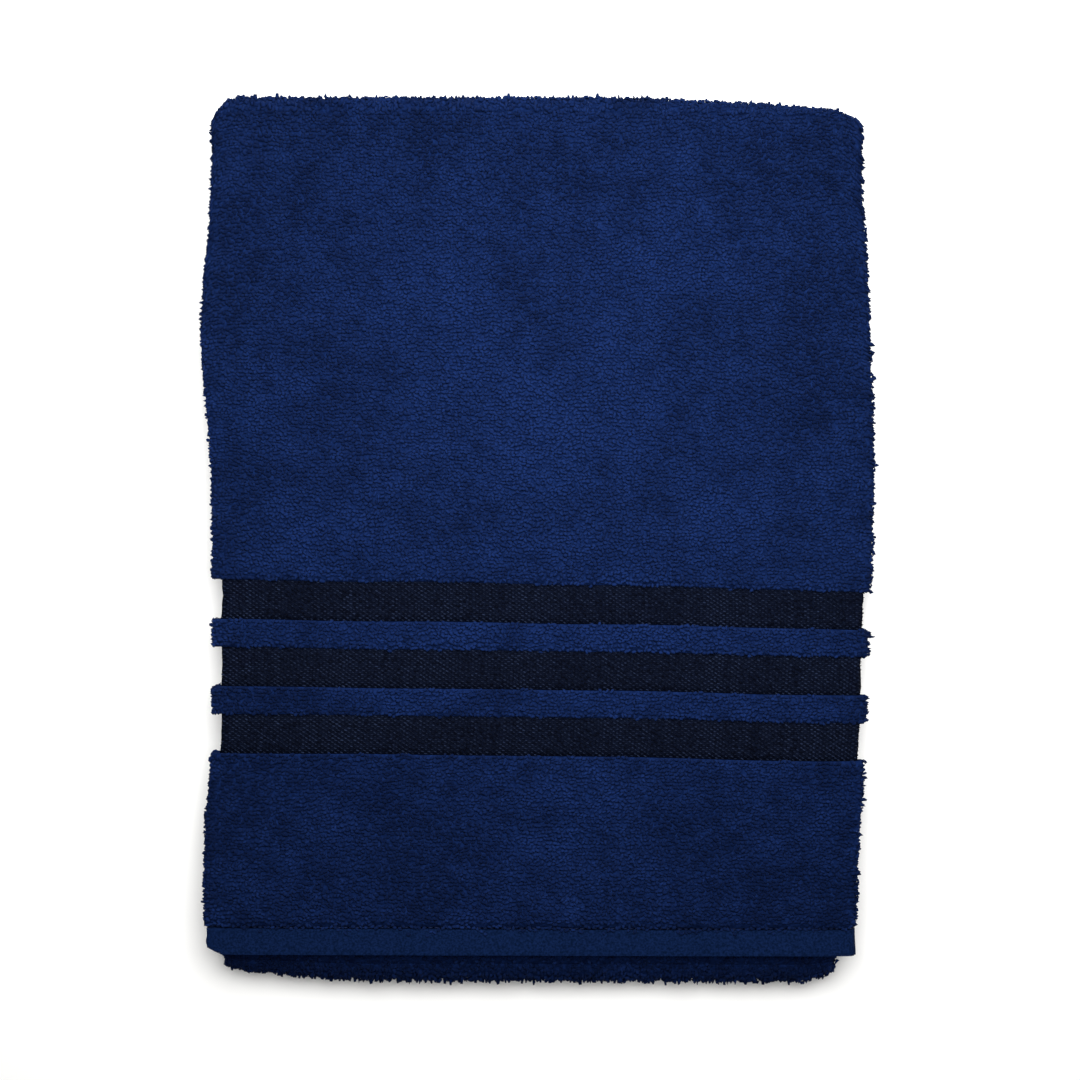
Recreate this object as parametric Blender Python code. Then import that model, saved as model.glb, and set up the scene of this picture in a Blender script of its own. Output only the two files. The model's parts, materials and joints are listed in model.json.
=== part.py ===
"""A terry bath towel, doubled along its length and then pleated into three stacked panels.

The frame is +X to the doubled side fold, -Y to the front pleat and +Z up, with the origin on the
ground under the middle of the towel. Every panel and pleat is two plies of cloth that join round
the fold at +X, and their turned side hems meet at -X. The front pleat joins the bottom and middle
panels and the back pleat joins the middle and top ones. A panel swings about its pleat's axis.
"""
import math

import bmesh
import bpy

# Driving dimensions, in metres.
FOLDED_WIDTH = 0.355          # terry, from the side hems to the side fold
FOLD_TO_FOLD = 0.484          # from the front pleat to the back pleat
TOP_SETBACK = 0.0185          # from the front pleat back to the top panel's hem
BOTTOM_SETBACK = 0.022        # from the back pleat in to the bottom panel's hem
TERRY_PLY = 0.0050            # one ply of terry, pile to pile
BAND_PLY = 0.0030             # one ply of the flat dobby border
HEM_PLY = 0.0036              # an end hem, three layers of flat cloth
GAP = 0.0003                  # between pieces that touch
BAND_LENGTH = 0.0210
RIB_LENGTH = 0.0145           # terry rib between two bands
END_TERRY_LENGTH = 0.0915     # terry between the border and the end hem
HEM_LENGTH = 0.0140
BAND_INSET = 0.0045           # how far the flat bands draw in from the terry's edge
HEM_INSET = 0.0010
SIDE_HEM_WIDTH = 0.0080
SIDE_HEM_THICKNESS = 0.0015
THREAD_RADIUS = 0.0004
QUARTER_STEPS = 8             # facets in a quarter turn

# What follows from them.
HALF_WIDTH = FOLDED_WIDTH / 2
HALF_DEPTH = FOLD_TO_FOLD / 2
PLY_RADIUS = (TERRY_PLY + GAP) / 2                  # side fold, at the middle of its ply
PANEL_HALF = TERRY_PLY + GAP / 2                    # half a panel's height
PLEAT_AXIS = PANEL_HALF + GAP / 2                   # from a panel's middle to its pleat's axis
PLEAT_RADIUS = PLEAT_AXIS + PANEL_HALF              # outside of a pleat
AXIS_Y = HALF_DEPTH - PLEAT_RADIUS - GAP / 2        # pleats' axes, in front of and behind X
HEM_SPACE = GAP / 2 + SIDE_HEM_THICKNESS + GAP      # half height of the side hems' recess
SIDE_HEM_LEFT = -HALF_WIDTH + BAND_INSET
SIDE_HEM_RIGHT = SIDE_HEM_LEFT + SIDE_HEM_WIDTH
SIDE_HEM_MIDDLE = (GAP + SIDE_HEM_THICKNESS) / 2    # from a panel's middle to a side hem's
THREAD_X = SIDE_HEM_RIGHT + GAP + THREAD_RADIUS
RECESS_RIGHT = THREAD_X + THREAD_RADIUS + GAP
SEAM = 2 * (THREAD_RADIUS + GAP)                    # room for the end hem's stitching

# Linear colour and roughness of each finish.
FINISHES = {
    "navy_terry": ((0.0070, 0.0194, 0.0802), 0.95),
    "dark_dobby": ((0.0052, 0.0080, 0.0190), 0.80),
    "flat_hem": ((0.0044, 0.0116, 0.0482), 0.85),
    "sewing_thread": ((0.0050, 0.0130, 0.0560), 0.60),
}

# The zones woven in from a free end: name, length, ply, inset, finish and the gap before the next.
ZONES = [
    ("end_hem", HEM_LENGTH, HEM_PLY, HEM_INSET, "flat_hem", SEAM),
    ("end_terry", END_TERRY_LENGTH, TERRY_PLY, 0.0, "navy_terry", GAP),
    ("outer_band", BAND_LENGTH, BAND_PLY, BAND_INSET, "dark_dobby", GAP),
    ("outer_rib", RIB_LENGTH, TERRY_PLY, 0.0, "navy_terry", GAP),
    ("middle_band", BAND_LENGTH, BAND_PLY, BAND_INSET, "dark_dobby", GAP),
    ("inner_rib", RIB_LENGTH, TERRY_PLY, 0.0, "navy_terry", GAP),
    ("inner_band", BAND_LENGTH, BAND_PLY, BAND_INSET, "dark_dobby", GAP),
]

# The middle of each panel's height, and each pleat's axis in Y and Z and the way it bulges.
PANELS = {
    "bottom": PANEL_HALF,
    "middle": PANEL_HALF + 2 * PLEAT_AXIS,
    "top": PANEL_HALF + 4 * PLEAT_AXIS,
}
PLEATS = {
    "front_pleat": (-AXIS_Y, PANELS["bottom"] + PLEAT_AXIS, -1),
    "back_pleat": (AXIS_Y, PANELS["middle"] + PLEAT_AXIS, 1),
}


def finish(name):
    """The material of one finish, made once."""
    found = bpy.data.materials.get(name)
    if found:
        return found
    colour, roughness = FINISHES[name]
    made = bpy.data.materials.new(name)
    made.use_nodes = True
    shader = made.node_tree.nodes["Principled BSDF"]
    shader.inputs["Base Color"].default_value = (*colour, 1.0)
    shader.inputs["Roughness"].default_value = roughness
    shader.inputs["Metallic"].default_value = 0.0
    return made


def add_part(name, mesh, finish_name):
    """Put the mesh with the towel's parts, welded, shaded and in its finish."""
    welded = bmesh.new()
    welded.from_mesh(mesh)
    bmesh.ops.remove_doubles(welded, verts=welded.verts, dist=1e-6)
    bmesh.ops.recalc_face_normals(welded, faces=welded.faces)
    welded.to_mesh(mesh)
    welded.free()
    mesh.materials.clear()
    mesh.materials.append(finish(finish_name))
    mesh.shade_smooth()
    mesh.set_sharp_from_angle(angle=math.radians(35))
    made = bpy.data.objects.new(name, mesh)
    towel.objects.link(made)


def mesh_from_curve(points, cyclic, **settings):
    """A poly spline through the points, with these curve settings, as a mesh in its own frame."""
    curve = bpy.data.curves.new("outline", "CURVE")
    for setting, value in settings.items():
        setattr(curve, setting, value)
    spline = curve.splines.new("POLY")
    spline.points.add(len(points) - 1)
    for point, place in zip(spline.points, points):
        point.co = (*place, 1.0)
    spline.use_cyclic_u = cyclic
    carrier = bpy.data.objects.new("outline", curve)
    bpy.context.scene.collection.objects.link(carrier)
    bpy.context.view_layer.update()
    evaluated = carrier.evaluated_get(bpy.context.evaluated_depsgraph_get())
    mesh = bpy.data.meshes.new_from_object(evaluated)
    bpy.data.objects.remove(carrier)
    return mesh


def flat_shape(section, extrude):
    """A section in X and Z, stood upright and drawn out along Y by its extrude either way."""
    mesh = mesh_from_curve([(x, z, 0.0) for x, z in section], True,
                           dimensions="2D", fill_mode="BOTH", extrude=extrude)
    shape = bmesh.new()
    shape.from_mesh(mesh)
    quarter_turn = [(1, 0, 0), (0, 0, -1), (0, 1, 0)]
    for vert in shape.verts:
        vert.co = [sum(a * b for a, b in zip(row, vert.co)) for row in quarter_turn]
    return mesh, shape


def prism(name, section, front, back, finish_name):
    """A section in X and Z drawn out along Y between two places."""
    mesh, shape = flat_shape(section, (back - front) / 2)
    bmesh.ops.translate(shape, verts=shape.verts, vec=(0, (front + back) / 2, 0))
    shape.to_mesh(mesh)
    shape.free()
    add_part(name, mesh, finish_name)


def half_turned(name, section, pleat, finish_name):
    """A section in X and radius turned half way round a pleat's axis."""
    axis_y, axis_z, side = PLEATS[pleat]
    start = (0, axis_y + side * GAP / 2, axis_z)
    mesh, shape = flat_shape(section, 0.0)
    bmesh.ops.remove_doubles(shape, verts=shape.verts, dist=1e-6)
    bmesh.ops.translate(shape, verts=shape.verts, vec=start)
    bmesh.ops.spin(shape, geom=shape.faces[:], cent=start, axis=(1, 0, 0),
                   angle=-side * math.pi, steps=2 * QUARTER_STEPS, use_duplicate=False)
    shape.to_mesh(mesh)
    shape.free()
    add_part(name, mesh, finish_name)


def thread(name, path):
    """A round sewing thread along a path, with filled ends."""
    mesh = mesh_from_curve(path, False, dimensions="3D", bevel_depth=THREAD_RADIUS,
                           bevel_resolution=1, use_fill_caps=True)
    add_part(name, mesh, "sewing_thread")


def arc(centre, radius, start, end):
    """Points of a round stretch between two angles in degrees."""
    steps = round(abs(end - start) / 90 * QUARTER_STEPS)
    turns = [math.radians(start + (end - start) * i / steps) for i in range(steps + 1)]
    return [(centre[0] + radius * math.cos(t), centre[1] + radius * math.sin(t)) for t in turns]


def channel(middle, ply, inset, recessed=True):
    """Section of two plies about a middle height, joined round the side fold.

    A recessed one has the room at its edge that the two side hems and their threads lie in.
    """
    outer = PLY_RADIUS + ply / 2
    inner = PLY_RADIUS - ply / 2
    left = -HALF_WIDTH + inset
    fold = (HALF_WIDTH - inset - outer, middle)
    edge = [(left, outer), (left, inner)]
    if recessed:
        edge = [(left, outer), (left, HEM_SPACE), (RECESS_RIGHT, HEM_SPACE), (RECESS_RIGHT, inner)]
    upper = [(x, middle + z) for x, z in edge]
    lower = [(x, middle - z) for x, z in edge]
    return arc(fold, outer, -90, 90) + upper + arc(fold, inner, 90, -90) + lower[::-1]


def side_hem_section(middle, side):
    """Section of the turned hem on the inner face of the ply above (1) or below (-1) the middle."""
    near = middle + side * GAP / 2
    far = near + side * SIDE_HEM_THICKNESS
    return [(SIDE_HEM_LEFT, near), (SIDE_HEM_RIGHT, near), (SIDE_HEM_RIGHT, far),
            (SIDE_HEM_LEFT, far)]


def panel_field(panel, front, back):
    """A panel's plain terry."""
    prism(f"{panel}_terry_field", channel(PANELS[panel], TERRY_PLY, 0.0), front, back, "navy_terry")


def panel_side_hems(panel, front, back):
    """The turned side hem of each ply and the thread that sews it down."""
    for ply, side in (("lower", -1), ("upper", 1)):
        prism(f"{panel}_{ply}_side_hem", side_hem_section(PANELS[panel], side), front, back,
              "flat_hem")
        thread_z = PANELS[panel] + side * SIDE_HEM_MIDDLE
        thread(f"{panel}_{ply}_side_thread", [(THREAD_X, front, thread_z), (THREAD_X, back, thread_z)])


def end_zones(panel, edge, inward):
    """The hem, terry, bands and ribs from a free end inwards; returns where each one stops."""
    stops = {}
    reach = 0.0
    for name, length, ply, inset, finish_name, gap in ZONES:
        front, back = sorted((edge + inward * reach, edge + inward * (reach + length)))
        section = channel(PANELS[panel], ply, inset, recessed=name != "end_hem")
        prism(f"{panel}_{name}", section, front, back, finish_name)
        reach += length + gap
        stops[name] = edge + inward * reach
    return stops


def end_hem_thread(panel, y):
    """The stitching of an end hem: along the lower ply, round the side fold and back."""
    left = -HALF_WIDTH + HEM_INSET
    turn = arc((HALF_WIDTH - PANEL_HALF, PANELS[panel]), PLY_RADIUS, -90, 90)
    line = [(left, turn[0][1]), *turn, (left, turn[-1][1])]
    thread(f"{panel}_end_hem_thread", [(x, y, z) for x, z in line])


def panel_with_free_end(panel, edge, inward):
    """A panel with the towel's hem at one end, which runs from there to its pleat's axis."""
    stops = end_zones(panel, edge, inward)
    end_hem_thread(panel, stops["end_hem"] - inward * SEAM / 2)
    pleat_end = inward * (AXIS_Y - GAP / 2)
    panel_field(panel, *sorted((stops["inner_band"], pleat_end)))
    panel_side_hems(panel, *sorted((stops["end_hem"], pleat_end)))


def pleat_cloth(pleat):
    """The cloth that bends round a pleat: its terry, and its side hems with their threads."""
    half_turned(pleat, channel(PLEAT_AXIS, TERRY_PLY, 0.0), pleat, "navy_terry")
    axis_y, axis_z, side = PLEATS[pleat]
    for ply, outward in (("inner", -1), ("outer", 1)):
        half_turned(f"{pleat}_{ply}_side_hem", side_hem_section(PLEAT_AXIS, outward), pleat,
                    "flat_hem")
        start = (axis_y + side * GAP / 2, axis_z)
        turn = arc(start, PLEAT_AXIS + outward * SIDE_HEM_MIDDLE, 90, 90 - side * 180)
        thread(f"{pleat}_{ply}_side_thread", [(THREAD_X, y, z) for y, z in turn])


for old in list(bpy.data.objects):
    bpy.data.objects.remove(old)
towel = bpy.data.collections.new("bath_towel")
bpy.context.scene.collection.children.link(towel)

panel_with_free_end("bottom", HALF_DEPTH - BOTTOM_SETBACK, inward=-1)
panel_field("middle", -AXIS_Y + GAP / 2, AXIS_Y - GAP / 2)
panel_side_hems("middle", -AXIS_Y + GAP / 2, AXIS_Y - GAP / 2)
panel_with_free_end("top", -HALF_DEPTH + TOP_SETBACK, inward=1)
pleat_cloth("front_pleat")
pleat_cloth("back_pleat")
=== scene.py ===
"""A navy terry bath towel with a three-band dobby border, doubled along its length and pleated in three.

Metres throughout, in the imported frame: +X to the side fold, -Y to the front pleat and +Z up.
"""
import json
import math

import bmesh
import bpy
import numpy as np
from mathutils import Matrix, Vector

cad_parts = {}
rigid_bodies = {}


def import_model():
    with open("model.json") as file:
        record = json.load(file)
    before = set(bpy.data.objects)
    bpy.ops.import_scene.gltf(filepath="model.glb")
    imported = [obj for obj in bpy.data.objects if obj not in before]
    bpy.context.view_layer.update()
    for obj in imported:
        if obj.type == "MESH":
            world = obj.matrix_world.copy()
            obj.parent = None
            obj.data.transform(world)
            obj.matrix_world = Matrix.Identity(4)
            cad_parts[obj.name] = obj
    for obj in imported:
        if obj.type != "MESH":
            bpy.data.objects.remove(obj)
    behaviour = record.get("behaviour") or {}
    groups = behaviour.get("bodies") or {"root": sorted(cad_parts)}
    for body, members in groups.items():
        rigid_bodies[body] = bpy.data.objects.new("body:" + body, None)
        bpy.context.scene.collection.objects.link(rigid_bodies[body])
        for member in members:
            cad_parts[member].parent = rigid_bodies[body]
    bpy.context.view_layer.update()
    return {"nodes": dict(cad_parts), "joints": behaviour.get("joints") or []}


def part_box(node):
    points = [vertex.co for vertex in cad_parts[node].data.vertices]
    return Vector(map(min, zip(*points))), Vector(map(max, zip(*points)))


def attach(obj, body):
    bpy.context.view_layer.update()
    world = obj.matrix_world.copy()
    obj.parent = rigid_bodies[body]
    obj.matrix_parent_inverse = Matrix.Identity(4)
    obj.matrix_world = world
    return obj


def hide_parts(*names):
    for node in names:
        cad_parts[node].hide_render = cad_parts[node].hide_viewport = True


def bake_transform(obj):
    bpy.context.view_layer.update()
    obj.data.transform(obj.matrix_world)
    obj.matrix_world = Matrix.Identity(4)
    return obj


for leftover in list(bpy.data.objects):
    bpy.data.objects.remove(leftover)
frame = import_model()


# The table and the light. The towel lies on a plain white table top under one wide soft lamp hung
# behind it, with a pale surround that is dimmer in front.
def material(name, **sockets):
    """A Principled material with these values on its own sockets; returns it, its nodes and its shader."""
    made = bpy.data.materials.new(name)
    made.use_nodes = True
    nodes = made.node_tree.nodes
    shader = nodes["Principled BSDF"]
    names = {socket.name.lower().replace(" ", "_"): socket for socket in shader.inputs}
    for socket, value in sockets.items():
        names[socket].default_value = value
    return made, nodes, shader


def join(made, source, socket):
    """Link an output to a socket in a material or a world."""
    made.node_tree.links.new(source, socket)


def two_shades(made, nodes, shader, source, dark, pale, stops=(0.0, 1.0)):
    """Colour a material from dark to pale by a value from 0 to 1."""
    shades = nodes.new("ShaderNodeValToRGB")
    for element, stop, colour in zip(shades.color_ramp.elements, stops, (dark, pale)):
        element.position = stop
        element.color = (*colour, 1.0)
    join(made, source, shades.inputs["Fac"])
    join(made, shades.outputs["Color"], shader.inputs["Base Color"])


def raised(made, nodes, shader, height, strength, distance):
    """Let a value roughen a material's surface."""
    bump = nodes.new("ShaderNodeBump")
    bump.inputs["Strength"].default_value = strength
    bump.inputs["Distance"].default_value = distance
    join(made, height, bump.inputs["Height"])
    join(made, bump.outputs["Normal"], shader.inputs["Normal"])


def noise(made, nodes, scale, detail=2.0):
    """A fine noise over the piece, from 0 to 1."""
    where = nodes.new("ShaderNodeTexCoord")
    speckle = nodes.new("ShaderNodeTexNoise")
    speckle.inputs["Scale"].default_value = scale
    speckle.inputs["Detail"].default_value = detail
    join(made, where.outputs["Object"], speckle.inputs["Vector"])
    return speckle.outputs["Fac"]


def yarn_shade(nodes):
    """The shade that each loop, float or stitch carries on its points."""
    yarn = nodes.new("ShaderNodeAttribute")
    yarn.attribute_name = "yarn_shade"
    return yarn.outputs["Fac"]


table_paint, nodes, shader = material("white_table", base_color=(0.95, 0.945, 0.93, 1.0), roughness=0.7,
                                      specular_ior_level=0.2)
grain_noise = nodes.new("ShaderNodeTexNoise")
grain_noise.inputs["Scale"].default_value = 900.0
grain_bump = nodes.new("ShaderNodeBump")
grain_bump.inputs["Strength"].default_value = 0.02
join(table_paint, grain_noise.outputs["Fac"], grain_bump.inputs["Height"])
join(table_paint, grain_bump.outputs["Normal"], shader.inputs["Normal"])

top = bmesh.new()
bmesh.ops.create_grid(top, x_segments=1, y_segments=1, size=3.0)
table_mesh = bpy.data.meshes.new("table")
top.to_mesh(table_mesh)
top.free()
table_mesh.materials.append(table_paint)
table = bpy.data.objects.new("table", table_mesh)
bpy.context.scene.collection.objects.link(table)

world = bpy.data.worlds.new("surround")
world.use_nodes = True
backdrop = world.node_tree.nodes["Background"]
backdrop.inputs["Color"].default_value = (1.0, 1.0, 1.0, 1.0)
heading = world.node_tree.nodes.new("ShaderNodeTexCoord")
parts = world.node_tree.nodes.new("ShaderNodeSeparateXYZ")
dimming = world.node_tree.nodes.new("ShaderNodeMapRange")
for socket, value in (("From Min", -0.8), ("From Max", 0.4), ("To Min", 0.15), ("To Max", 0.62)):
    dimming.inputs[socket].default_value = value
join(world, heading.outputs["Generated"], parts.inputs["Vector"])
join(world, parts.outputs["Y"], dimming.inputs["Value"])
join(world, dimming.outputs["Result"], backdrop.inputs["Strength"])
bpy.context.scene.world = world

lamp_data = bpy.data.lights.new("lamp", "AREA")
lamp_data.shape = "DISK"
lamp_data.size = 0.60
lamp_data.energy = 7.5
lamp = bpy.data.objects.new("lamp", lamp_data)
bpy.context.scene.collection.objects.link(lamp)
lamp.location = (0.035, 0.21, 0.52)
lamp.rotation_mode = "QUATERNION"
lamp.rotation_quaternion = (lamp.location - Vector((0.02, 0.09, 0.0))).to_track_quat("Z", "Y")
lamp.visible_camera = False

# The camera hangs straight over the towel.
camera_data = bpy.data.cameras.new("camera")
camera_data.lens = 44.5
camera_data.sensor_width = 36.0
camera = bpy.data.objects.new("camera", camera_data)
bpy.context.scene.collection.objects.link(camera)
camera.location = (0.0022, 0.0005, 0.75)
bpy.context.scene.camera = camera
bpy.context.scene.view_settings.view_transform = "Standard"


# The ground cloth of the terry: a plain cotton weave, two plies to a panel, joined round the side fold
# at +X and open at -X. Each woven zone of each panel is one closed sheet of it.
PLY = 0.0050                     # terry, pile tip to pile tip
GROUND = 0.0026                  # its ground cloth
GAP = 0.0003
PLY_RADIUS = (PLY + GAP) / 2     # the side fold, at the middle of its ply
PLEAT_MIDDLE = PLY + GAP         # a panel's middle to its pleat's axis
HALF_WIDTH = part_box("top_terry_field")[1].x
SIDE_BEND = math.pi * PLY_RADIUS
pleat_axes = {joint["name"]: joint["pos_m"] for joint in frame["joints"]}
panel_middles = {}
for panel, field in (("bottom", "bottom_terry_field"), ("middle", "middle_terry_field"),
                     ("top", "top_terry_field")):
    low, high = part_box(field)
    panel_middles[panel] = (low.z + high.z) / 2
TOP_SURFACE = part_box("top_terry_field")[1].z
STACK_SPLIT = (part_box("top_terry_field")[0].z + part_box("middle_terry_field")[1].z) / 2
ON_TABLE = 0.0002                # nothing lies lower than this
CORNER = 0.014                   # the back fold's round left corner
SQUASH_SHARE = 0.55              # how much of a pleat's recess is squashed
SQUASH_MOST = 0.0045             # and never more than this
ACROSS_COLUMNS = [70, 10, 70]    # faces across a sheet's lower ply, side fold and upper ply
SHEET_STEP = 0.005               # and the length of one of them along the towel


def ease(value, start, end):
    """0 before start, 1 after end, and a smooth rise between."""
    t = np.clip((value - start) / (end - start), 0.0, 1.0)
    return t * t * (3.0 - 2.0 * t)


def hump(value, middle, spread):
    """1 at the middle and falling away smoothly either side."""
    return np.exp(-((value - middle) / spread) ** 2)


def ripple(x, y, wave, seed):
    """A soft irregular surface from -1 to 1, with waves of about this length."""
    chance = np.random.default_rng(seed)
    total = np.zeros(np.broadcast(x, y).shape)
    for _ in range(6):
        heading = chance.uniform(0, math.pi)
        pitch = wave * chance.uniform(0.7, 1.5)
        phase = chance.uniform(0, 2 * math.pi)
        total += np.sin((x * math.cos(heading) + y * math.sin(heading)) * 2 * math.pi / pitch + phase)
    return total / 3.2


def front_recess(x):
    """How far in the front pleat's ends lie: the part that squashes it, then the part that moves it."""
    whole = (0.0050 * ease(-x, 0.095, 0.175) + 0.0022 * ease(-x, 0.160, 0.178)
             + 0.0032 * ease(x, 0.155, 0.178))
    squashed = np.minimum(SQUASH_SHARE * whole, SQUASH_MOST)
    return squashed, whole - squashed


def back_recess(x):
    """The same for the back pleat, whose fold drops away to its right end and is round at its left one."""
    slope = (0.0080 * np.clip((x - 0.020) / 0.1575, 0, 1) ** 1.7
             + 0.0075 * np.clip((x - 0.150) / 0.0275, 0, 1) ** 3)
    whole = slope + CORNER - np.sqrt(CORNER ** 2 - np.clip(-x - 0.1635, 0, CORNER - 0.0002) ** 2)
    squashed = np.minimum(SQUASH_SHARE * whole, SQUASH_MOST)
    return squashed, whole - squashed


def lie(points, lower):
    """Move points of the neatly folded towel to where a hand-folded one lies.

    Lower is 0 for the top panel and 1 for what lies under it.
    """
    x, y, z = points[..., 0], points[..., 1], points[..., 2]
    across = x / HALF_WIDTH
    front = ease(-y, 0.0, 0.235)
    # Free edge and side fold wander in and out.
    free = 0.0033 - 0.0060 * hump(y, 0.115, 0.055) - 0.0043 * ease(-y, 0.105, 0.165)
    fold = (0.0044 * hump(y, 0.045, 0.085) - 0.0056 * ease(-y, 0.080, 0.215)
            + 0.0022 * ease(0.2 - y, 0.0, 0.05))
    under = lower * ease(0.2 - y, 0.0, 0.1)
    tip = ease(-y, 0.212, 0.238)
    free = free + under * (0.0048 + 0.0022 * front + 0.0015 * tip + 0.0012 * ripple(y, z * 8, 0.11, 3))
    fold = fold - under * (0.0040 + 0.0045 * front + 0.0015 * tip - 0.0010 * ripple(y, z * 8, 0.13, 4))
    free = free + 0.0005 * ripple(y, z * 30, 0.028, 5) + 0.0003 * ripple(y, z * 60, 0.011, 10)
    fold = fold + 0.0005 * ripple(y, z * 30, 0.031, 6) + 0.0003 * ripple(y, z * 60, 0.012, 11)
    shift_x = free * (1 - across) / 2 + fold * (1 + across) / 2
    # Rows run a little downhill to the right, and the pleats' ends draw the cloth beside them in.
    skew = -(0.0040 * across * ease(y, -0.30, 0.03) + 0.0018 * across ** 2 * ease(y, -0.14, 0.0))
    skew = skew * (1 - ease(y, 0.02, 0.22))
    back = ease(y, 0.02, 0.225)
    nose = ease(-y, 0.180, 0.232) * lower
    lift = 0.0040 * ease(-x, 0.168, 0.178) * ease(-y, 0.212, 0.224) * (1 - lower)
    wander = 0.0006 * ripple(x, y * 0.6, 0.090, 7) * ease(0.225 - np.abs(y), 0.0, 0.04)
    frill = 0.0004 * ripple(x, z * 30, 0.017, 12) * ease(y, 0.222, 0.236)
    shift_y = skew - back * back_recess(x)[1] + nose * front_recess(x)[1] + lift + wander + frill
    # Soft hollows, nothing at the table and nothing at the pleats.
    height = z / TOP_SURFACE
    swell = 0.0007 * ripple(x, y, 0.12, 8) + 0.0003 * ripple(x, y, 0.045, 9)
    sag = -0.0010 * ease(np.abs(x), 0.155, 0.180)
    shift_z = height * (swell * ease(0.2314 - np.abs(y), 0.0, 0.03) + sag)
    return np.stack([x + shift_x, y + shift_y, np.maximum(z + shift_z, ON_TABLE)], axis=-1)


def width_path(left, fold):
    """How cloth coordinates run across a panel: from the lower ply's free edge to the upper ply's."""
    straight = fold - left

    def place(s, d):
        turn = np.clip((s - straight) / PLY_RADIUS, 0.0, math.pi)
        past = np.maximum(s - straight - SIDE_BEND, 0.0)
        radius = PLY_RADIUS + d
        x = left + np.minimum(s, straight) - past + radius * np.sin(turn)
        return x, -radius * np.cos(turn)

    return place, straight


def panel_shape(middle, left, fold):
    """Cloth coordinates (across, along, height above the ply) to the frame, for a flat panel."""
    place, straight = width_path(left, fold)
    lower = 1.0 if middle < STACK_SPLIT else 0.0

    def shape(s, v, d):
        x, height = place(s, d)
        return lie(np.stack([x, v, middle + height], axis=-1), lower)

    return shape, straight


def pleat_shape(pleat, left, fold, bulge):
    """The same for the cloth that turns round a pleat; along runs from its lower end."""
    _, axis_y, axis_z = pleat_axes[pleat]
    side = -1.0 if axis_y < 0 else 1.0
    reach = PLEAT_MIDDLE + PLY_RADIUS
    lower = 1.0 if axis_y < 0 else 0.0
    place, straight = width_path(left, fold)

    def shape(s, v, d):
        x, height = place(s, d)
        radius = PLEAT_MIDDLE + height
        turn = v / reach
        squashed = 1 - (front_recess if side < 0 else back_recess)(x)[0] / (reach + PLY / 2)
        y = axis_y + side * radius * np.sin(turn) * (1 + bulge * np.sin(turn)) * squashed
        return lie(np.stack([x, y, axis_z - radius * np.cos(turn)], axis=-1), lower)

    return shape, straight


def new_piece(name, mesh, finish):
    """Put a mesh in the scene as a piece with one finish."""
    mesh.materials.append(finish)
    mesh.shade_smooth()
    made = bpy.data.objects.new(name, mesh)
    bpy.context.scene.collection.objects.link(made)
    return made


def cloth(name, finish, shape, stops, columns, along, rows, thickness, push=None):
    """A closed sheet over stretches of the width, each with its own number of columns."""
    work = bmesh.new()
    bmesh.ops.create_grid(work, x_segments=sum(columns), y_segments=rows, size=0.5)
    mesh = bpy.data.meshes.new(name)
    work.to_mesh(mesh)
    work.free()
    co = np.empty(len(mesh.vertices) * 3)
    mesh.vertices.foreach_get("co", co)
    co = co.reshape(-1, 3)
    marks = np.concatenate([[0], np.cumsum(columns)]) / sum(columns)
    s = np.interp(co[:, 0] + 0.5, marks, stops)
    v = along[0] + (co[:, 1] + 0.5) * (along[1] - along[0])
    d = np.zeros(len(s)) if push is None else push(s, v)
    mesh.vertices.foreach_set("co", shape(s, v, d).astype(np.float32).ravel())
    made = new_piece(name, mesh, finish)
    shell = made.modifiers.new("thickness", "SOLIDIFY")
    shell.thickness = thickness
    shell.offset = 0.0
    return made


ground_weave, nodes, shader = material("terry_ground", roughness=0.95, specular_ior_level=0.02)
knots = noise(ground_weave, nodes, 420.0, 3.0)
two_shades(ground_weave, nodes, shader, knots, (0.0018, 0.0060, 0.0290), (0.0044, 0.0140, 0.0640),
           (0.35, 0.70))
raised(ground_weave, nodes, shader, knots, 0.8, 0.0006)

TERRY_FOLD = HALF_WIDTH - PLY_RADIUS - PLY / 2
TERRY_SPAN = 2 * (TERRY_FOLD + HALF_WIDTH) + SIDE_BEND


def clear_of_hems(s, v):
    """How far the ply bows out over the side hems that lie inside its free edges."""
    edge = np.minimum(s, TERRY_SPAN - s)
    return 0.0006 * (1 - ease(edge, 0.014, 0.022))


terry = {}
for panel, middle in panel_middles.items():
    shape, straight = panel_shape(middle, -HALF_WIDTH, TERRY_FOLD)
    for zone in ("terry_field", "end_terry", "outer_rib", "inner_rib"):
        node = f"{panel}_{zone}"
        if node not in frame["nodes"]:
            continue
        low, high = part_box(node)
        sheet = cloth(f"{node}_ground", ground_weave, shape,
                      [0, straight, straight + SIDE_BEND, TERRY_SPAN], ACROSS_COLUMNS,
                      (low.y - GAP / 2, high.y + GAP / 2), max(4, round((high.y - low.y) / SHEET_STEP)),
                      GROUND, clear_of_hems)
        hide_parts(node)
        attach(sheet, f"{panel}_panel")
        terry[node] = {"sheet": sheet, "shape": shape, "straight": straight, "panel": panel,
                       "along": (low.y, high.y), "pieces": []}


# The terry's loops: soft two-ply cotton yarn, drawn up through the ground cloth in weft rows and left
# uncut, so they lean about and lie across each other. They stand on every outer face.
ROW = 0.0019                     # one row of loops to the next
LOOP = (0.0028, 0.0019, 0.0015)  # a loop's length, width and height
PLAIN_LOOP = (0.0038, 0.0025, 0.0016)
SEEN_SPACING = 0.0021            # loops along a row of the top face
TABLE_SPACING = 0.0040           # plain ones on the stack's underside
HIDDEN_SPACING = 0.0056          # plain ones inside the stack
EDGE_SPACING = 0.0016


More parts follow.
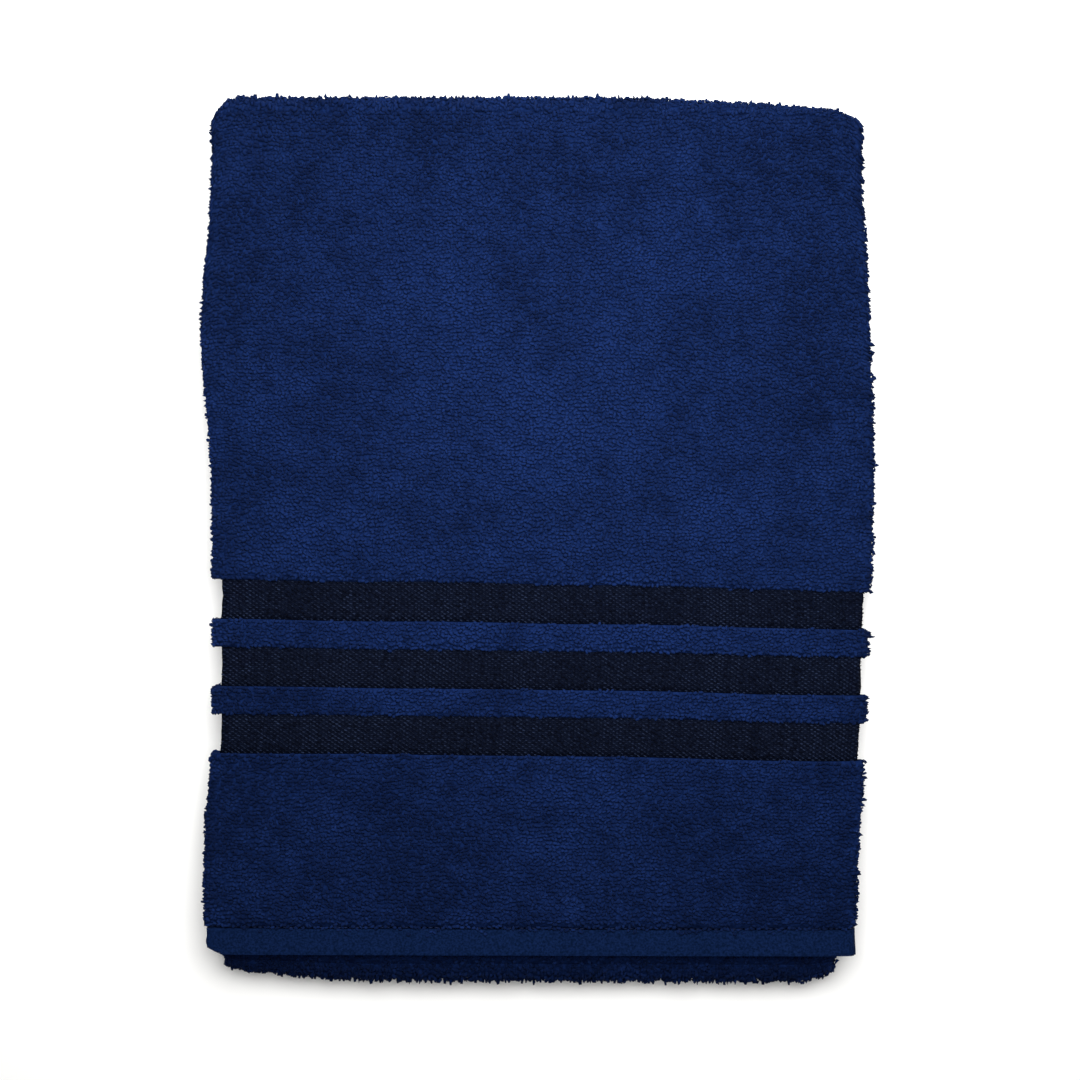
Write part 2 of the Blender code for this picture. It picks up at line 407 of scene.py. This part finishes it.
def bead(length, width, height, sides, rings, arch, bow):
    """One loop, float or stitch: a spindle of yarn along X that arches up and bows to one side."""
    work = bmesh.new()
    bmesh.ops.create_uvsphere(work, u_segments=sides, v_segments=rings, radius=0.5)
    bmesh.ops.rotate(work, verts=work.verts, cent=(0, 0, 0), matrix=Matrix.Rotation(math.pi / 2, 3, "Y"))
    for vert in work.verts:
        t = 2 * vert.co.x
        vert.co.x *= length
        vert.co.y = vert.co.y * width + bow * (1 - t * t)
        vert.co.z = vert.co.z * height * 1.25 + arch * height * (0.75 - t * t)
    bmesh.ops.triangulate(work, faces=work.faces)
    bmesh.ops.recalc_face_normals(work, faces=work.faces)
    work.verts.ensure_lookup_table()
    corners = np.array([vert.co for vert in work.verts])
    faces = [[vert.index for vert in face.verts] for face in work.faces]
    work.free()
    # The triangles come in no fixed order, so they are put in one.
    lowest_first = [face[face.index(min(face)):] + face[:face.index(min(face))] for face in faces]
    return corners, np.array(sorted(lowest_first))


def sow(name, finish, shape, beads, places, angles, sizes, shades, outward=None):
    """Set a bead at each place in cloth coordinates, turned, sized and shaded, as one mesh.

    Places are (across, along, height). Outward, where given, is the way each bead stands along
    the width: -1 or 1 at a free edge, and 0 on a face.
    """
    count = len(places)
    kinds = np.arange(count) % len(beads)
    cos, sin = np.cos(angles), np.sin(angles)
    every_point, every_face, every_uv, every_shade = [], [], [], []
    start = 0
    cells = math.ceil(math.sqrt(count))
    for kind, (corners, faces) in enumerate(beads):
        chosen = np.nonzero(kinds == kind)[0]
        local = corners[None] * sizes[chosen, None, :]
        turned = np.stack([
            local[..., 0] * cos[chosen, None] - local[..., 1] * sin[chosen, None],
            local[..., 0] * sin[chosen, None] + local[..., 1] * cos[chosen, None],
            local[..., 2]], axis=-1)
        if outward is not None:
            out = outward[chosen, None]
            stood = np.stack([turned[..., 2] * out, turned[..., 1], turned[..., 0]], axis=-1)
            turned = np.where((out == 0)[..., None], turned, stood)
        points = (places[chosen, None, :] + turned).reshape(-1, 3)
        every_point.append(points)
        offsets = start + np.arange(len(chosen))[:, None, None] * len(corners)
        every_face.append((faces[None] + offsets).reshape(-1, 3))
        span = corners[:, :2] - corners[:, :2].min(axis=0)
        span = 0.15 + 0.7 * span / span.max(axis=0)
        cell = np.stack([chosen % cells, chosen // cells], axis=-1)
        every_uv.append(((cell[:, None] + span[None]) / cells).reshape(-1, 2))
        every_shade.append(np.repeat(shades[chosen], len(corners)))
        start += len(points)
    flat = np.concatenate(every_point)
    points = shape(flat[:, 0], flat[:, 1], flat[:, 2])
    faces = np.concatenate(every_face)
    a, b, c = (points[faces[:, i]] for i in range(3))
    normals = np.cross(b, c) - np.cross(b, a) + np.cross(c, a)
    if np.einsum("ij,ij->i", a - points.mean(axis=0), normals).sum() < 0:
        faces = faces[:, ::-1]
    mesh = bpy.data.meshes.new(name)
    mesh.vertices.add(len(points))
    mesh.vertices.foreach_set("co", points.astype(np.float32).ravel())
    mesh.loops.add(faces.size)
    mesh.loops.foreach_set("vertex_index", faces.astype(np.int32).ravel())
    mesh.polygons.add(len(faces))
    mesh.polygons.foreach_set("loop_start", np.arange(0, faces.size, 3, dtype=np.int32))
    mesh.update(calc_edges=True)
    uv = mesh.uv_layers.new(name="OFBake")
    uv.data.foreach_set("uv", np.concatenate(every_uv)[faces.ravel()].astype(np.float32).ravel())
    shade = mesh.attributes.new("yarn_shade", "FLOAT", "POINT")
    shade.data.foreach_set("value", np.concatenate(every_shade).astype(np.float32))
    mesh.validate()
    return new_piece(name, mesh, finish)


def rows_of_loops(across, along, spacing, chance):
    """Places for loops in wavy rows."""
    lines = max(1, round((along[1] - along[0]) / ROW))
    per_line = max(1, round((across[1] - across[0]) / spacing))
    line, step = np.meshgrid(np.arange(lines), np.arange(per_line), indexing="ij")
    s = across[0] + (step + chance.uniform(0, 1, (lines, 1)) + chance.normal(0, 0.17, line.shape)) \
        / per_line * (across[1] - across[0])
    s = across[0] + np.mod(s - across[0], across[1] - across[0])
    pitch = (along[1] - along[0]) / lines
    v = along[0] + (line + 0.5) * pitch
    v = v + 0.00060 * ripple(s, v, 0.015, 21) + chance.normal(0, 0.00036, line.shape)
    return s.ravel(), v.ravel()


loops, nodes, shader = material("terry_loops", roughness=0.95, specular_ior_level=0.02, sheen_weight=0.04,
                                sheen_roughness=0.5, sheen_tint=(0.20, 0.35, 1.0, 1.0))
shade_sum = yarn_shade(nodes)
for scale, depth in ((20.0, 0.40), (70.0, 0.34)):
    share = nodes.new("ShaderNodeMapRange")
    for socket, value in (("From Min", 0.25), ("From Max", 0.75), ("To Min", -depth), ("To Max", depth)):
        share.inputs[socket].default_value = value
    join(loops, noise(loops, nodes, scale), share.inputs["Value"])
    both = nodes.new("ShaderNodeMath")
    both.operation = "ADD"
    join(loops, shade_sum, both.inputs[0])
    join(loops, share.outputs["Result"], both.inputs[1])
    shade_sum = both.outputs["Value"]
two_shades(loops, nodes, shader, shade_sum, (0.0018, 0.0056, 0.0265), (0.0051, 0.0155, 0.0710))
raised(loops, nodes, shader, noise(loops, nodes, 2600.0), 0.5, 0.0002)

fine_loops = [bead(*LOOP, 4, 3, 0.35, bow) for bow in (-0.0003, 0.0, 0.0003)]
plain_loops = [bead(*PLAIN_LOOP, 4, 2, 0.0, 0.0)]


def face_loops(across, along, spacing, chance, lean=0.75, rough=1.0, stray=0.0, hang=0.0006, shade=0.5):
    """Places, angles, sizes and shades of the loops on a face.

    Stray is the share of them that stand up, and hang is how far they reach over the face's front end.
    """
    s, v = rows_of_loops(across, along, spacing, chance)
    count = len(s)
    uneven = 0.00018 * ripple(s, v, 0.010, 41) + chance.normal(0, 0.00024, count)
    d = GROUND / 2 + 0.00020 + clear_of_hems(s, v) + rough * uneven
    last = ease(along[0] + 0.0030 - v, 0.0, 0.0030)
    v = v - last * hang * (0.4 + np.clip(ripple(s, 0.0, 0.016, 51) + chance.normal(0, 0.4, count), 0, 2))
    angles = chance.normal(0, lean, count)
    sizes = 1.0 + rough * chance.uniform(-0.22, 0.22, (count, 3))
    standing = chance.uniform(0, 1, count) < stray
    sizes[standing] *= (0.8, 0.9, 1.0)
    sizes[standing, 2] *= chance.uniform(1.2, 2.2, standing.sum())
    shades = np.clip(chance.normal(shade, 0.15, count), 0.0, 1.0)
    return np.stack([s, v, d], axis=-1), angles, sizes, shades, np.zeros(count)


def edge_loops(s, outward, along, chance):
    """The same for the loops that stand out of a free edge."""
    parts = []
    for depth in (-0.0008, 0.0004, 0.0014):
        count = round((along[1] - along[0]) / EDGE_SPACING)
        v = along[0] + (np.arange(count) + chance.uniform(0, 1, count)) / count * (along[1] - along[0])
        place = np.stack([np.full(count, s) - outward * 0.0003 + chance.normal(0, 0.0004, count), v,
                          depth + chance.normal(0, 0.0002, count)], axis=-1)
        sizes = chance.uniform(0.7, 1.2, (count, 3))
        sizes[:, 2] *= np.where(chance.uniform(0, 1, count) < 0.12, 1.5, 1.0)
        parts.append((place, chance.normal(0, 0.8, count), sizes,
                      np.clip(chance.normal(0.5, 0.11, count), 0.02, 0.98),
                      np.full(count, float(outward))))
    return tuple(np.concatenate(group) for group in zip(*parts))


def painted_falloff(s, v):
    """Painted falloff of light on the top face's pile: paler in the middle of the field, darker round it.
    """
    middle = (TERRY_SPAN + TERRY_FOLD + HALF_WIDTH + SIDE_BEND) / 2
    away = np.hypot((s - middle) / 0.20, (v - 0.05) / 0.22)
    return 0.15 - 0.42 * ease(away, 0.15, 1.25)


def together(*groups):
    """Several sets of loops as one."""
    return tuple(np.concatenate(group) for group in zip(*groups))


for number, (node, ply) in enumerate(terry.items()):
    chance = np.random.default_rng(100 + number)
    straight, along, panel = ply["straight"], ply["along"], ply["panel"]
    lower_face = (0.0, straight)
    side_fold = (straight, straight + SIDE_BEND)
    upper_face = (straight + SIDE_BEND, TERRY_SPAN)
    round_the_edges = together(face_loops(side_fold, along, SEEN_SPACING, chance, 0.8, 1.8, 0.10),
                               edge_loops(0.0, -1, along, chance),
                               edge_loops(TERRY_SPAN, 1, along, chance))
    batches = {"edge_loops": (fine_loops, round_the_edges)}
    if panel == "top":
        half = (upper_face[0] + upper_face[1]) / 2
        if node == "top_terry_field":
            halves = {"loops_right": (upper_face[0], half), "loops_left": (half, upper_face[1])}
            for label, part in halves.items():
                batches[label] = (fine_loops, face_loops(part, along, SEEN_SPACING, chance))
        else:
            # Painted light: the ribs' loops are paler to make up for the shade they get beside the dark
            # bands and from the painted falloff.
            manner = {"hang": 0.0028} if node == "top_end_terry" else {"shade": 0.62}
            batches["loops"] = (fine_loops, face_loops(upper_face, along, SEEN_SPACING, chance, **manner))
        # The top face's loops carry the painted falloff of light: paler in the middle of the field, darker
        # round it.
        for _, (places, _, _, shades_of, _) in batches.values():
            shades_of += painted_falloff(places[:, 0], places[:, 1])
        batches["loops_under"] = (plain_loops, face_loops(lower_face, along, HIDDEN_SPACING, chance))
    else:
        spacing = TABLE_SPACING if panel == "bottom" else HIDDEN_SPACING
        batches["loops_under"] = (plain_loops, face_loops(lower_face, along, spacing, chance))
        batches["loops"] = (plain_loops, face_loops(upper_face, along, HIDDEN_SPACING, chance))
    for label, (beads, (places, angles, sizes, shades_of, outward)) in batches.items():
        pile = sow(f"{node}_{label}", loops, ply["shape"], beads, places, angles, sizes, shades_of, outward)
        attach(pile, f"{panel}_panel")
        ply["pieces"].append(pile)


# The dobby bands: flat near-black weave without loops, so they lie lower than the terry on either side.
# Greyish weft floats lie over the ground in fine diamonds.
BAND = 0.0022                    # the bands' thickness
FLOAT_STEP = 0.00175             # one float to the next on a pick
PICK = 0.00108                   # one pick to the next
FLOAT_MARGIN = 0.0004            # bare ground at a band's free edges
band_ground, nodes, shader = material("dobby_ground", roughness=0.85, specular_ior_level=0.02)
picks = noise(band_ground, nodes, 700.0)
two_shades(band_ground, nodes, shader, picks, (0.0007, 0.0012, 0.0040), (0.0024, 0.0042, 0.0120),
           (0.35, 0.70))
raised(band_ground, nodes, shader, picks, 0.5, 0.0003)

band_floats, nodes, shader = material("dobby_floats", roughness=0.7, specular_ior_level=0.04)
two_shades(band_floats, nodes, shader, yarn_shade(nodes), (0.0006, 0.0012, 0.0045),
           (0.0115, 0.0180, 0.0410))

float_bead = [bead(0.0020, 0.0009, 0.0005, 4, 3, 0.4, 0.0)]
plain_float = [bead(0.0021, 0.0010, 0.0005, 4, 2, 0.0, 0.0)]


def diamond_floats(across, along, chance):
    """Floats staggered from one pick to the next, so that they read as fine diamonds."""
    columns = round((across[1] - across[0]) / FLOAT_STEP)
    picks_up = round((along[1] - along[0]) / PICK)
    column, pick = np.meshgrid(np.arange(columns), np.arange(picks_up), indexing="ij")
    woven = (column + pick) % 2 == 0
    s = across[0] + (column[woven] + 0.5) * (across[1] - across[0]) / columns
    v = along[0] + (pick[woven] + 0.5) * (along[1] - along[0]) / picks_up
    count = len(s)
    streak = ripple(s, v * 0.05, 0.009, 31) * 0.17 + ripple(s, v * 0.2, 0.040, 32) * 0.17
    shades_of = np.clip(chance.normal(0.42, 0.20, count) + streak, 0.0, 1.0)
    s = s + chance.normal(0, 0.00012, count)
    d = np.full(count, BAND / 2)
    sizes = chance.uniform(0.8, 1.2, (count, 3))
    angles = 0.35 + chance.normal(0, 0.15, count)
    return np.stack([s, v, d], axis=-1), angles, sizes, shades_of, np.zeros(count)


for panel, middle in panel_middles.items():
    for zone in ("outer_band", "middle_band", "inner_band"):
        node = f"{panel}_{zone}"
        if node not in frame["nodes"]:
            continue
        chance = np.random.default_rng(300 + len(node) + round(middle * 1e4))
        low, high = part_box(node)
        shape, straight = panel_shape(middle, low.x, high.x - PLY_RADIUS - BAND / 2)
        span = 2 * straight + SIDE_BEND
        sheet = cloth(f"{node}_ground", band_ground, shape,
                      [0, straight, straight + SIDE_BEND, span], ACROSS_COLUMNS,
                      (low.y - GAP / 2, high.y + GAP / 2), 5, BAND)
        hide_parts(node)
        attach(sheet, f"{panel}_panel")
        turn = straight + SIDE_BEND / 2
        for face, across in (("upper", (turn, span - FLOAT_MARGIN)), ("lower", (FLOAT_MARGIN, turn))):
            best = panel == "top" and face == "upper"
            floats = sow(f"{node}_{face}_floats", band_floats, shape, float_bead if best else plain_float,
                         *diamond_floats(across, (low.y, high.y), chance))
            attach(floats, f"{panel}_panel")


# The end hems: the flat weave at each end of the towel, turned under twice and sewn down, which leaves
# a smooth rounded edge and a stitched groove where the terry starts.
HEM = 0.0032                     # the end hems' thickness
STITCH = (0.0029, 0.0008, 0.0008)
STITCH_STEP = 0.0033             # one stitch to the next
SEAM_MARGIN = 0.001              # from the first and the last stitch to the hem's free edges
SEAM_HEIGHT = 0.0006             # over the middle of the hem
HEM_EDGE = 0.0013                # the radius of its turned edges
hem_weave, nodes, shader = material("hem_weave", roughness=0.9, specular_ior_level=0.02)
picks = noise(hem_weave, nodes, 900.0)
two_shades(hem_weave, nodes, shader, picks, (0.0011, 0.0048, 0.0200), (0.0034, 0.0112, 0.0470),
           (0.33, 0.67))
raised(hem_weave, nodes, shader, picks, 0.6, 0.0002)

thread_cotton, nodes, shader = material("thread_cotton", roughness=0.6, specular_ior_level=0.1)
two_shades(thread_cotton, nodes, shader, yarn_shade(nodes), (0.0018, 0.0052, 0.0230),
           (0.0042, 0.0115, 0.0480))

stitch = [bead(*STITCH, 5, 4, 0.3, 0.0)]


def stitches(name, shape, start, end, d, along_width, replaced):
    """A row of lockstitches between two places in cloth coordinates."""
    distance = math.hypot(end[0] - start[0], end[1] - start[1])
    count = round(distance / STITCH_STEP)
    t = (np.arange(count) + 0.5) / count
    chance = np.random.default_rng(500 + count)
    s = start[0] + t * (end[0] - start[0])
    v = start[1] + t * (end[1] - start[1])
    angles = chance.normal(0.0 if along_width else math.pi / 2, 0.05, count)
    made = sow(name, thread_cotton, shape, stitch, np.stack([s, v, np.full(count, d)], axis=-1), angles,
               chance.uniform(0.94, 1.06, (count, 3)), chance.uniform(0.2, 0.8, count))
    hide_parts(replaced)
    return made


for panel in ("bottom", "top"):
    node = f"{panel}_end_hem"
    low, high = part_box(node)
    seam_low, seam_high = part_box(f"{node}_thread")
    shape, straight = panel_shape(panel_middles[panel], low.x, high.x - PLY_RADIUS - HEM / 2)
    span = 2 * straight + SIDE_BEND
    hem = cloth(node + "_turned", hem_weave, shape, [0, straight, straight + SIDE_BEND, span], [90, 10, 90],
                (low.y, high.y), 8, HEM)
    rounding = hem.modifiers.new("turned_edge", "BEVEL")
    rounding.width = HEM_EDGE
    rounding.segments = 3
    rounding.limit_method = "ANGLE"
    rounding.angle_limit = math.radians(50)
    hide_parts(node)
    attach(hem, f"{panel}_panel")
    seam = (seam_low.y + seam_high.y) / 2
    sewn = stitches(f"{node}_stitches", shape, (SEAM_MARGIN, seam), (span - SEAM_MARGIN, seam), SEAM_HEIGHT,
                    True, f"{node}_thread")
    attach(sewn, f"{panel}_panel")
    terry[f"{panel}_end_terry"]["pieces"] += [hem, sewn]


# The side hems: the long edges of the towel turned in once, flat against the inner face of each ply at
# -X, and sewn down with a line of stitches.
SIDE_HEM = 0.0014                # their thickness
side_low, side_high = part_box("middle_lower_side_hem")
hem_in = side_low.x + HALF_WIDTH
hem_out = side_high.x + HALF_WIDTH
hem_depth = -(PLY_RADIUS - (panel_middles["middle"] - (side_low.z + side_high.z) / 2))
thread_low, thread_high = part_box("middle_lower_side_thread")
stitch_in = (thread_low.x + thread_high.x) / 2 + HALF_WIDTH
side_hems = (("lower", hem_in, hem_out, stitch_in),
             ("upper", TERRY_SPAN - hem_in, TERRY_SPAN - hem_out, TERRY_SPAN - stitch_in))


def side_hem(name, shape, across, along, rows, replaced):
    """A turned strip inside a free edge."""
    made = cloth(name, hem_weave, shape, list(across), [4], along, rows, SIDE_HEM,
                 lambda s, v: np.full(len(s), hem_depth))
    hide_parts(replaced)
    return made


for panel, middle in panel_middles.items():
    shape, straight = panel_shape(middle, -HALF_WIDTH, TERRY_FOLD)
    for ply, inner, outer, seam in side_hems:
        node = f"{panel}_{ply}_side_hem"
        low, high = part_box(node)
        turned = side_hem(f"{node}_turned", shape, (inner, outer), (low.y, high.y),
                          round((high.y - low.y) / SHEET_STEP), node)
        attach(turned, f"{panel}_panel")
        sewn = stitches(f"{panel}_{ply}_side_stitches", shape, (seam, low.y), (seam, high.y), hem_depth,
                        False, f"{panel}_{ply}_side_thread")
        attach(sewn, f"{panel}_panel")
        terry[f"{panel}_terry_field"]["pieces"] += [turned, sewn]


# The pleats: the same terry where it doubles back on itself at the front and the back of the stack, with
# its side hems.
PLEAT_LENGTH = math.pi * (PLEAT_MIDDLE + PLY_RADIUS)
# Its lower and upper panels, how far it bulges, the share of loops that stand up and how pale they are; the
# front pleat's loops are painted dark for the shade it lies in under the top panel's hem.
pleat_hands = {"front_pleat": ("bottom_panel", "middle_panel", 0.14, 0.40, 0.05),
               "back_pleat": ("middle_panel", "top_panel", 0.01, 0.10, 0.45)}
for pleat, (below, above, bulge, stray, shade) in pleat_hands.items():
    chance = np.random.default_rng(700 + len(pleat))
    low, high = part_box(pleat)
    shape, straight = pleat_shape(pleat, -HALF_WIDTH, TERRY_FOLD, bulge)
    along = (0.0, PLEAT_LENGTH)
    sheet = cloth(f"{pleat}_ground", ground_weave, shape, [0, straight, straight + SIDE_BEND, TERRY_SPAN],
                  ACROSS_COLUMNS, along, 20, GROUND, clear_of_hems)
    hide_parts(pleat)
    outer_ply, side_fold = (straight + SIDE_BEND, TERRY_SPAN), (straight, straight + SIDE_BEND)
    standing = together(face_loops(outer_ply, along, 0.0020, chance, 0.9, 1.8, stray, 0.0, shade),
                        face_loops(side_fold, along, 0.0019, chance, 0.8, 1.8, 0.08, 0.0),
                        edge_loops(0.0, -1, along, chance), edge_loops(TERRY_SPAN, 1, along, chance))
    pile = sow(f"{pleat}_loops", loops, shape, fine_loops, *standing)
    pieces = [pile]
    for ply, (_, inner, outer, seam) in zip(("inner", "outer"), side_hems):
        pieces.append(side_hem(f"{pleat}_{ply}_side_hem_turned", shape, (inner, outer), along, 16,
                               f"{pleat}_{ply}_side_hem"))
        pieces.append(stitches(f"{pleat}_{ply}_side_stitches", shape, (seam, along[0]), (seam, along[1]),
                               hem_depth, False, f"{pleat}_{ply}_side_thread"))
    for piece in [sheet, *pieces]:
        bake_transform(piece)
